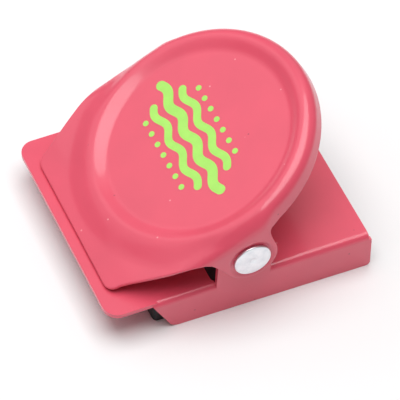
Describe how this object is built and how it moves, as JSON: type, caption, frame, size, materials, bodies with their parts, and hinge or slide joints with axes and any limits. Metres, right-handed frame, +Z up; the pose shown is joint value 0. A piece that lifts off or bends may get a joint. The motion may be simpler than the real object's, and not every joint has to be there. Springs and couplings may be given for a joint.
{
  "type": "magnetic memo clip",
  "caption": "Small painted sheet-steel spring clip with a round dished thumb lever, a riveted pivot and a magnet block under its folded base.",
  "frame": {"origin": "centre of the footprint in plan, on the plane of the magnet face and the flange bottoms", "axes": "+Z up away from the surface the magnets hold to; -Y towards the jaw and the paper; X along the pivot rivet"},
  "size_m": [0.0458, 0.05, 0.0316],
  "materials": {
    "base_paint": "gloss enamel over pressed steel",
    "lever_paint": "gloss enamel over pressed steel",
    "rivet_nickel": "nickel plate, satin from the heading tool",
    "spring_steel": "zinc-plated drawn wire",
    "holder_plastic": "fine moulded texture",
    "magnet_ferrite": "ground ceramic ferrite"
  },
  "bodies": {
    "base": {"base_plate": "base_paint", "pivot_rivet": "rivet_nickel", "torsion_spring": "spring_steel", "magnet_holder": "holder_plastic", "magnet_left": "magnet_ferrite", "magnet_right": "magnet_ferrite"},
    "lever": {"lever": "lever_paint"}
  },
  "joints": [
    {"name": "lever_hinge", "type": "hinge", "parent": "base", "child": "lever", "pos_m": [0, 0.0009, 0.0133], "axis": [-1, 0, 0], "range_deg": [0, 50], "stiffness_Nm_per_rad": 0.28, "springref_deg": -25.78, "deforming": ["torsion_spring"]}
  ]
}
